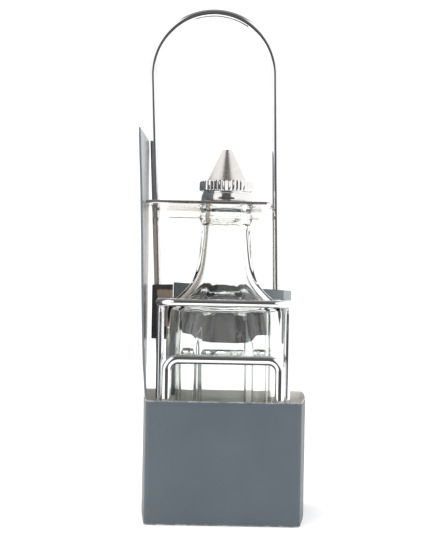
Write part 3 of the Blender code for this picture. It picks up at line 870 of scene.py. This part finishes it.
def smooth_profile(points, gap):
    """A monotone curve through (half, height) points, sampled about every gap."""
    out = []
    for i in range(len(points) - 1):
        p0 = Vector(points[max(0, i - 1)])
        p1, p2 = Vector(points[i]), Vector(points[i + 1])
        p3 = Vector(points[min(len(points) - 1, i + 2)])
        count = max(1, int((p2 - p1).length / gap))
        for k in range(count):
            t = k / count
            a = (p2 - p0) * 0.5
            b = (p3 - p1) * 0.5
            h = t * t * (3 - 2 * t)
            out.append(p1 * (1 - h) + p2 * h + a * (t * (1 - t) ** 2)
                       - b * (t * t * (1 - t)))
    out.append(Vector(points[-1]))
    return out


def ramp_between(value, low, high):
    """0 at low and 1 at high, with a soft start and stop."""
    t = min(1.0, max(0.0, (value - low) / (high - low)))
    return t * t * (3 - 2 * t)


FACE_SHARE, NECK_FACE_SHARE = 0.515, 0.415   # width of a main flat over the whole width
NARROWING = (82, 102)                        # heights over which the flats narrow
ROUNDING = (138, 143.5)                      # heights over which the neck turns round
GLASS_SIDES = 128
# How crisp the corners between flats are, outside and inside, and how much rounder the
# inside is: how far its diagonals draw in, and its share of a plain circle
CRISP, INNER_CRISP = 60.0, 26.0
INNER_DIAGONAL, INNER_ROUND = 0.985, 0.92
# (half width, height) from the foot to the mouth, then down the inside
PUNT = [(6.0, 7.6), (14.0, 7.2), (19.0, 6.4), (22.5, 5.75)]
SHELL = [(24.5, 5.7), (26.6, 6.5), (27.8, 8.4), (28.2, 11.5), (28.2, 30), (28.2, 60),
         (28.2, 88), (28.2, 97.0), (28.0, 100.5), (26.9, 103.4), (24.5, 105.7),
         (21.8, 108.0), (19.2, 110.6), (16.8, 113.6), (15.0, 117.6), (14.0, 121.4),
         (13.45, 125.2), (12.7, 133.0), (12.1, 142.6)]
NECK = [(12.1, 142.6), (12.8, 144.4), (13.3, 146.0), (12.8, 147.5), (12.2, 148.4),
        (12.8, 149.3), (13.3, 150.6), (12.8, 151.8), (11.8, 152.8), (10.6, 153.3),
        (10.6, 155.2), (11.1, 155.8), (10.6, 156.4), (10.6, 157.8), (11.1, 158.4),
        (10.6, 159.0), (10.6, 160.1), (10.1, 160.6)]
INSIDE = [(9.2, 160.6), (8.6, 160.0), (8.6, 144.0), (9.6, 130.0), (11.2, 120.0),
          (14.4, 113.0), (19.4, 106.6), (23.4, 101.6), (25.2, 96.0), (25.4, 60),
          (25.2, 16.0), (24.0, 12.9), (21.5, 11.7), (12.0, 11.2)]


def glass_radius(angle, half, z, inner):
    """Distance from the axis: eight rounded facets on the body, a circle at the mouth."""
    face = FACE_SHARE - (FACE_SHARE - NECK_FACE_SHARE) * ramp_between(z, *NARROWING)
    leg = half * (1 - face)
    diagonal = (2 * half - leg) / 2 ** 0.5
    if inner:
        diagonal *= INNER_DIAGONAL
    power = INNER_CRISP if inner else CRISP
    total = 0.0
    for k in range(8):
        reach = half if k % 2 == 0 else diagonal
        along = cos(angle - k * pi / 4)
        if along > 0.2:
            total += (along / reach) ** power
    faceted = total ** (-1 / power)
    round_share = INNER_ROUND if inner else ramp_between(z, *ROUNDING)
    return faceted * (1 - round_share) + half * round_share


def make_bottle():
    """One closed glass mesh: the outside with its thread, then the inside."""
    bm = bmesh.new()

    def rings(profile, inner):
        out = []
        for half, z in profile:
            ring = []
            for k in range(GLASS_SIDES):
                angle = 2 * pi * (k + 0.5) / GLASS_SIDES
                r = glass_radius(angle, half, z, inner)
                ring.append(bm.verts.new(place(r * cos(angle), r * sin(angle), z)))
            out.append(ring)
        return out

    outer = smooth_profile(SHELL, 1.1)[:-1] + smooth_profile(NECK, 0.45)
    layers = rings(PUNT + outer, False) + rings(smooth_profile(INSIDE, 1.2), True)
    skin(bm, layers)
    fan(bm, layers[0])
    fan(bm, layers[-1])
    obj = finish_mesh(bm, "bottle_glass_moulded", [GLASS], 60)
    settle(obj, "bottle", "clear_glass", "bottle_glass")


KNURLS = 44
RING_TOP, RING_LIP, SKIRT_TOP = 164.2, 163.2, 158.05
# (radius, height, knurl depth) round the ring's section
RING_PROFILE = [
    (11.5, 153.7, 0), (12.2, 153.7, 0), (12.42, 153.85, 0), (12.55, 154.3, 0),
    (12.68, 155.0, 0), (12.7, 155.8, 0), (12.68, 156.5, 0), (12.55, 157.2, 0),
    (12.35, SKIRT_TOP - 0.2, 0), (11.95, SKIRT_TOP, 0), (11.95, 158.7, 0),
    (12.3, 159.1, 0), (13.1, 159.25, 0.1), (13.4, 159.7, 0.45), (13.4, 163.3, 0.45),
    (13.15, 163.8, 0.3), (12.7, RING_TOP, 0), (10.2, RING_TOP, 0),
    (10.0, RING_TOP - 0.2, 0), (10.0, RING_LIP, 0), (11.5, RING_LIP, 0)]


def make_cap_ring():
    """The knurled ring and its barrelled skirt."""
    steps = KNURLS * 6
    bm = bmesh.new()
    rings = []
    for radius, z, depth in RING_PROFILE:
        ring = []
        for k in range(steps):
            angle = 2 * pi * k / steps
            share = (1 - cos(angle * KNURLS)) / 2
            r = radius - depth * share ** 0.7
            ring.append(bm.verts.new(place(r * cos(angle), r * sin(angle), z)))
        rings.append(ring)
    skin(bm, rings, closed=True)
    settle(finish_mesh(bm, "cap_ring_knurled", [CAP_CHROME], 32), "cap_ring", "cap_chrome",
           "cap_ring")


def make_cap_insert():
    """The hollow pouring cone, with its flange inside the ring, and the gasket."""
    tip, tip_radius, foot, foot_radius = 179.9, 2.55, 164.8, 9.6
    under, seat, flange_radius, slope = 162.2, 162.9, 11.1, 14
    shoulder = tip - 0.45
    outer = [(1.4, tip - 0.1), (1.5, tip), (tip_radius - 0.5, tip),
             (tip_radius - 0.15, tip - 0.12), (tip_radius, shoulder)]
    outer += [(tip_radius + (foot_radius - tip_radius) * k / slope,
               shoulder + (foot - shoulder) * k / slope) for k in range(1, slope + 1)]
    outer += [(9.75, 164.5), (foot_radius, 164.0), (foot_radius, seat),
              (flange_radius, seat), (flange_radius, under)]
    inner = [(8.7, under), (8.7, 164.2), (1.4, tip - 1.5)]
    settle(turned("pour_cone_spun", outer + inner, CONE), "cap_insert", "cone_steel",
           "pour_cone")
    top, low, soft = 161.9, 160.9, 0.15
    ring = [(8.9, top - soft), (8.9 + soft, top), (11.0 - soft, top), (11.0, top - soft),
            (11.0, low + soft), (11.0 - soft, low), (8.9 + soft, low), (8.9, low + soft)]
    settle(turned("cap_gasket_washer", ring, GASKET, 72), "cap_insert", "gasket_rubber",
           "cap_gasket")


# ---------------------------------------------------------------- studio

def make_floor():
    """A pale paper floor just under the part."""
    count, size, under = 12, 6.0, -0.0003
    bm = bmesh.new()
    rows = [[bm.verts.new((size * (i / count - 0.5), size * (j / count - 0.5), under))
             for i in range(count + 1)] for j in range(count + 1)]
    for low, high in zip(rows, rows[1:]):
        for i in range(count):
            bm.faces.new((low[i], low[i + 1], high[i + 1], high[i]))
    r = Recipe("studio_floor_paper")
    grain = r.grain(300, 3.0)
    r.set(Base_Color=r.mix(grain, (0.90, 0.90, 0.90), (0.93, 0.93, 0.93)), Roughness=0.8)
    r.set(Emission_Color=(1, 1, 1, 1), Emission_Strength=0.16)
    finish_mesh(bm, "studio_floor", [r.material])


def make_mirror_shade_sheet():
    """A black sheet on the floor towards the camera, which only mirrors see: a painted
    reflection of the floor there lying in shade.
    """
    near, far, spread, above, steps = -0.42, -2.9, 0.75, 0.0004, 8
    bm = bmesh.new()
    rows = []
    for k in range(steps + 1):
        y = near + (far - near) * k / steps
        rows.append([bm.verts.new((y * side * spread, y, above)) for side in (-1, 1)])
    for low, high in zip(rows, rows[1:]):
        bm.faces.new((low[0], low[1], high[1], high[0]))
    r = Recipe("painted_shade_black_sheet")
    sheet_grain = r.grain(400, 2.0)
    r.set(Base_Color=r.mix(sheet_grain, (0.02, 0.02, 0.02), (0.03, 0.03, 0.03)), Roughness=0.9)
    shade_sheet = finish_mesh(bm, "painted_shade_sheet_for_mirrors", [r.material])
    for ray in ("camera", "diffuse", "transmission", "shadow", "volume_scatter"):
        setattr(shade_sheet, "visible_" + ray, False)


# Where mirrors see the dark room behind the camera, and the dim ceiling over it. Start
# and stop are degrees over the camera's level, each a pair between which the edge fades.
ROOM_START, ROOM_STOP = (-24, -12), (60, 74)
CEILING_STOP = (122, 140)
ROOM_WIDTH, ROOM_NARROWING, CEILING_WIDTH = 0.61, 0.27, 0.45
NARROWS = (-2, 12)
WHITE, ROOM_DARKNESS, CEILING_DARKNESS = 1.2, 1.09, 0.88
THROUGH_GLASS = 0.75               # the share of the darkness that glass takes away


def make_world():
    """White all round, with a dark room that only mirrors see."""
    world = bpy.data.worlds.new("soft_studio")
    bpy.context.scene.world = world
    world.use_nodes = True
    tree = world.node_tree
    nodes, links = tree.nodes, tree.links

    def maths(operation, a, b=0.0):
        node = nodes.new("ShaderNodeMath")
        node.operation = operation
        for socket, value in zip(node.inputs, (a, b)):
            if isinstance(value, bpy.types.NodeSocket):
                links.new(value, socket)
            else:
                socket.default_value = value
        return node.outputs[0]

    def between(value, a, b):
        node = nodes.new("ShaderNodeMapRange")
        node.interpolation_type = "SMOOTHSTEP"
        links.new(value, node.inputs["Value"])
        node.inputs["From Min"].default_value = a
        node.inputs["From Max"].default_value = b
        return node.outputs["Result"]

    direction = nodes.new("ShaderNodeTexCoord").outputs["Generated"]
    split = nodes.new("ShaderNodeSeparateXYZ")
    links.new(direction, split.inputs[0])
    x, y, z = split.outputs
    sideways = maths("ABSOLUTE", x)
    over = maths("ARCTAN2", z, maths("MULTIPLY", y, -1.0))

    def zone(start, stop, width):
        """1 inside a stretch of the circle over the camera, and as far to each side."""
        inside = maths("SUBTRACT", 1.0, between(maths("SUBTRACT", sideways, width),
                                                -0.05, 0.05))
        begun = between(over, radians(start[0]), radians(start[1]))
        ended = maths("SUBTRACT", 1.0, between(over, radians(stop[0]), radians(stop[1])))
        return maths("MULTIPLY", inside, maths("MULTIPLY", begun, ended))

    narrowing = maths("MULTIPLY", ROOM_NARROWING,
                      between(over, radians(NARROWS[0]), radians(NARROWS[1])))
    room = zone(ROOM_START, ROOM_STOP, maths("SUBTRACT", ROOM_WIDTH, narrowing))
    ceiling = zone(ROOM_STOP, CEILING_STOP, CEILING_WIDTH)
    dark = maths("ADD", maths("MULTIPLY", room, ROOM_DARKNESS),
                 maths("MULTIPLY", ceiling, CEILING_DARKNESS))
    path = nodes.new("ShaderNodeLightPath")
    mirrored = maths("SUBTRACT", path.outputs["Is Reflection Ray"],
                     path.outputs["Is Diffuse Ray"])
    dark = maths("MULTIPLY", dark, maths("MAXIMUM", mirrored, 0.0))
    through = maths("MINIMUM", path.outputs["Transmission Depth"], 1.0)
    kept = maths("SUBTRACT", 1.0, maths("MULTIPLY", through, THROUGH_GLASS))
    level = maths("SUBTRACT", WHITE, maths("MULTIPLY", dark, kept))
    shader = nodes["Background"]
    links.new(level, shader.inputs["Strength"])
    shader.inputs["Color"].default_value = (1, 1, 1, 1)


def make_key():
    """A broad softbox high in front, seen by no mirror."""
    data = bpy.data.lights.new("soft_key", "AREA")
    data.shape = "RECTANGLE"
    data.size, data.size_y = 0.9, 0.6
    data.energy = 9.0
    key = bpy.data.objects.new("soft_key", data)
    bpy.context.scene.collection.objects.link(key)
    spot, aim = Vector((-0.35, -0.95, 1.05)), Vector((0, 0, 0.06))
    turn = (spot - aim).to_track_quat("Z", "Y").to_matrix().to_4x4()
    key.matrix_world = Matrix.Translation(spot) @ turn
    key.visible_glossy = False
    key.visible_camera = False


PICTURE_HEIGHT, FOCAL_PIXELS, SENSOR = 537, 1450, 24.0
SHIFT_PIXELS = (-9, 14.5)
ROLL = radians(1.05)
CAMERA_X, CAMERA_DISTANCE, CAMERA_Z = -0.4, 717.975, 114.0


def make_camera():
    """Level with the bottle's shoulder, with the photo's slight roll and framing."""
    data = bpy.data.cameras.new("photo_camera")
    camera = bpy.data.objects.new("photo_camera", data)
    bpy.context.scene.collection.objects.link(camera)
    data.sensor_fit = "VERTICAL"
    data.sensor_height = SENSOR
    data.lens = FOCAL_PIXELS / PICTURE_HEIGHT * SENSOR
    data.shift_x = SHIFT_PIXELS[0] / PICTURE_HEIGHT
    data.shift_y = SHIFT_PIXELS[1] / PICTURE_HEIGHT
    data.clip_start = 0.01
    data.clip_end = 100.0
    spot = place(CAMERA_X, -CAMERA_DISTANCE, CAMERA_Z)
    camera.matrix_world = (Matrix.Translation(spot) @ Matrix.Rotation(pi / 2, 4, "X")
                           @ Matrix.Rotation(ROLL, 4, "Z"))
    bpy.context.scene.camera = camera


make_camera()
make_sleeve()
make_floor_card()
make_panel()
make_band()
make_handle()
make_loops()
make_legs_and_rails()
make_crossbar()
make_plate()
make_flange()
make_knuckles()
make_bottle()
make_cap_ring()
make_cap_insert()
make_floor()
# Painted shade for mirrors: a black sheet in place of the shaded floor towards the camera
make_mirror_shade_sheet()
make_world()
make_key()
bpy.context.scene.view_settings.view_transform = "Standard"
